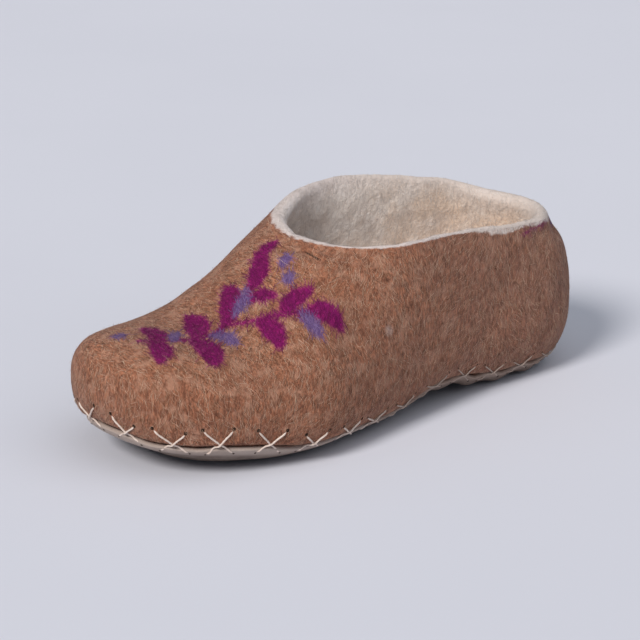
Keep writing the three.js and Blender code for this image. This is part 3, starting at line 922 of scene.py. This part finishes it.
# loose wool fibres lying on the felt, lengths in mm
fibres = {
    "light": {"count": 28000, "size": (2.0, 6.0), "wide": (0.05, 0.12), "lift": 0.12, "stray": 0.5},
    "dark": {"count": 12000, "size": (2.0, 5.0), "wide": (0.05, 0.12), "lift": 0.09, "stray": 0.2},
    "white": {"count": 11000, "size": (2.5, 6.0), "wide": (0.09, 0.18), "lift": 0.22, "stray": 0.7},
    "rose": {"count": 4200, "size": (2.5, 6.0), "wide": (0.10, 0.20), "lift": 0.15, "stray": 0.2},
    "violet": {"count": 1200, "size": (2.5, 6.0), "wide": (0.10, 0.20), "lift": 0.16, "stray": 0.2},
}
fibreLay = {
    "top": (0.35, 0.4), "sideFall": (0.12, 0.0, -1.0), "topFall": (0.35, 1.0, -0.2),
    "spin": 0.5, "drift": 1.3, "driftSize": 45.0, "curl": 0.22, "strayPower": 6, "tintPower": 1.6,
    "taper": (0.35, 1.0, 0.9, 0.25), "arch": (0.35, 1.0, 0.9, 0.4), "loose": (0.0, 0.3, 0.9, 2.0),
    "turnLimit": 0.2, "fromDye": 1.5, "inDye": 0.2, "fromViolet": 0.5, "fromNick": 1.8, "pastNick": 1.0,
    "insideFrom": 40.0, "onWhite": 0.5,
}
fibreTones = {  # darkest and lightest of each kind
    "light": ((0.30, 0.138, 0.074), (0.70, 0.485, 0.35)), "dark": ((0.05, 0.02, 0.011), (0.15, 0.06, 0.032)),
    "white": ((0.62, 0.55, 0.51), (0.85, 0.79, 0.75)), "rose": ((0.10, 0.002, 0.05), (0.29, 0.010, 0.15)),
    "violet": ((0.10, 0.05, 0.17), (0.25, 0.16, 0.33)),
}


def scatter(quads, count):  # points spread evenly over the area of some faces
    c = feltPoints[quads]
    normal = np.cross(c[:, 2] - c[:, 0], c[:, 3] - c[:, 1])
    area = np.linalg.norm(normal, axis=1)
    pick = dice.choice(len(quads), count, p=area / area.sum())
    u, v = dice.random((count, 1)), dice.random((count, 1))
    c = c[pick]
    point = (c[:, 0] * (1 - u) + c[:, 1] * u) * (1 - v) + (c[:, 3] * (1 - u) + c[:, 2] * u) * v
    return point, unit(normal[pick])


def fibreFinish(kind):
    f = Finish(kind + "Fibre")
    return f.done(f.mix(f.field("tint"), *fibreTones[kind]), 0.8, None, specular=0.2)


def layFibres(kind, quads, tree):
    # flat ribbons of three links, each link drawn back onto the felt
    plan = fibres[kind]
    count = plan["count"]
    p, n = scatter(quads, count)
    overTop = rising(n[:, 2:3], *fibreLay["top"])
    fall = np.array(fibreLay["sideFall"]) * (1 - overTop) + np.array(fibreLay["topFall"]) * overTop
    spin = dice.normal(0, fibreLay["spin"], count)
    spin = spin + fibreLay["drift"] * softNoise(p, fibreLay["driftSize"], 11)
    curl = dice.normal(0, fibreLay["curl"], count)
    size, width = dice.uniform(*plan["size"], count), dice.uniform(*plan["wide"], count)
    way = dice.choice([-1.0, 1.0], (count, 1))
    stray = dice.random(count) ** fibreLay["strayPower"] * plan["stray"]
    points = np.empty((count, 4, 2, 3))
    shape = zip(fibreLay["taper"], fibreLay["arch"], fibreLay["loose"])
    for k, (taper, arch, loose) in enumerate(shape):
        run = unit(fall - (fall * n).sum(1, keepdims=True) * n)
        angle = (spin + curl * (k - 1.5))[:, None]
        run = (np.cos(angle) * run + np.sin(angle) * np.cross(n, run)) * way
        across = np.cross(n, run) * (width * taper / 2)[:, None]
        seat = p + n * (plan["lift"] * arch + stray * loose)[:, None]
        points[:, k, 0], points[:, k, 1] = seat - across, seat + across
        p = p + run * (size / 3)[:, None]
        for i in range(count):
            place, face, _, _ = tree.find_nearest(Vector(p[i]))
            p[i] = place
            if face.dot(Vector(n[i])) > fibreLay["turnLimit"]:
                n[i] = face
    link = np.array([[2 * k, 2 * k + 1, 2 * k + 3, 2 * k + 2] for k in range(3)])
    faces = (np.arange(count)[:, None, None] * 8 + link).reshape(-1, 4)
    tint = np.repeat(dice.random(count) ** fibreLay["tintPower"], 8)
    addPiece(kind + "Fibres", points.reshape(-1, 3), faces, fibreFinish(kind), [("tint", tint)])


outsideFaces = outerFaces[(outerFaces[:, 0] % outerFelt.shape[1]) > felt["soleRows"] + 1]
roseMean, violetMean = roseField[outsideFaces].mean(1), violetField[outsideFaces].mean(1)
plain = (roseMean > fibreLay["fromDye"]) & (violetMean > fibreLay["fromDye"])
besideNick = np.abs(nickAcross[outsideFaces].mean(1)) > fibreLay["fromNick"]
plain &= besideNick | (nickPast[outsideFaces].mean(1) > fibreLay["pastNick"])
inRose = (roseMean < fibreLay["inDye"]) & (violetMean > fibreLay["fromViolet"])
layFibres("light", outsideFaces[plain], outerTree)
layFibres("dark", outsideFaces[plain], outerTree)
layFibres("rose", outsideFaces[inRose], outerTree)
layFibres("violet", outsideFaces[violetMean < fibreLay["inDye"]], outerTree)
insideFaces = np.concatenate([lipFaces, liningFaces])
seen = feltPoints[insideFaces].mean(1)[:, 2] > fibreLay["insideFrom"]
seen &= whiteField[insideFaces].mean(1) > fibreLay["onWhite"]
insideFaces = insideFaces[seen]
insideTree = BVHTree.FromPolygons([Vector(p) for p in feltPoints], insideFaces.tolist())
layFibres("white", insideFaces, insideTree)

# plain pale floor
floorPlan = {"half": 25.0, "drop": 0.0003, "dark": (0.67, 0.675, 0.745), "light": (0.70, 0.705, 0.775)}


def floorFinish():
    f = Finish("paleFloor")
    pale = f.mix(f.ramp(f.noise(3, 3, 0.5), 0.3, 0.7, 0, 0.5), floorPlan["light"], floorPlan["dark"])
    return f.done(pale, 0.9, None, specular=0.1)


far = floorPlan["half"]
floorMesh = bpy.data.meshes.new("floor")
floorMesh.from_pydata([(-far, -far, 0), (far, -far, 0), (far, far, 0), (-far, far, 0)], [], [(0, 1, 2, 3)])
floorMesh.materials.append(floorFinish())
floor = bpy.data.objects.new("floor", floorMesh)
floor.location.z = -floorPlan["drop"]
bpy.context.collection.objects.link(floor)

# the photograph's angle to this slipper, the frame drawn in round it
view = {
    "azimuth": 139.0, "elevation": 18.3, "distance": 1.1, "aim": (137.0, -4.0, 39.5), "across": 0.288,
    "sensor": 36.0, "farthest": 100.0,
}
az, el = math.radians(view["azimuth"]), math.radians(view["elevation"])
toCamera = Vector((math.sin(az) * math.cos(el), -math.cos(az) * math.cos(el), math.sin(el)))
cameraData = bpy.data.cameras.new("camera")
cameraData.sensor_width = view["sensor"]
cameraData.lens = view["sensor"] * view["distance"] / view["across"]
cameraData.clip_end = view["farthest"]
camera = bpy.data.objects.new("camera", cameraData)
camera.location = Vector((np.array(view["aim"]) - origin) * mm) + toCamera * view["distance"]
camera.rotation_euler = toCamera.to_track_quat("Z", "Y").to_euler()
bpy.context.collection.objects.link(camera)
bpy.context.scene.camera = camera

# soft studio light: a broad key over the toe and a pale room
lamps = [
    {"name": "key", "from": (0.75, 0.22, 0.62), "strength": 2.5, "soft": 18, "tone": (1.0, 0.97, 0.93)},
    {"name": "top", "from": (-0.05, 0.50, 0.86), "strength": 0.85, "soft": 70, "tone": (0.96, 0.98, 1.0)},
]
room = {"tone": (0.80, 0.88, 1.0), "strength": 0.24}
for lamp in lamps:
    light = bpy.data.lights.new(lamp["name"], "SUN")
    light.energy = lamp["strength"]
    light.angle = math.radians(lamp["soft"])
    light.color = lamp["tone"]
    holder = bpy.data.objects.new(lamp["name"], light)
    holder.location = Vector(lamp["from"]) * 2
    holder.rotation_euler = Vector(lamp["from"]).to_track_quat("Z", "Y").to_euler()
    bpy.context.collection.objects.link(holder)
world = bpy.data.worlds.new("room")
world.use_nodes = True
background = world.node_tree.nodes["Background"]
background.inputs["Color"].default_value = (*room["tone"], 1)
background.inputs["Strength"].default_value = room["strength"]
bpy.context.scene.world = world
bpy.context.scene.view_settings.view_transform = "Standard"
print("floor, camera and lights set")
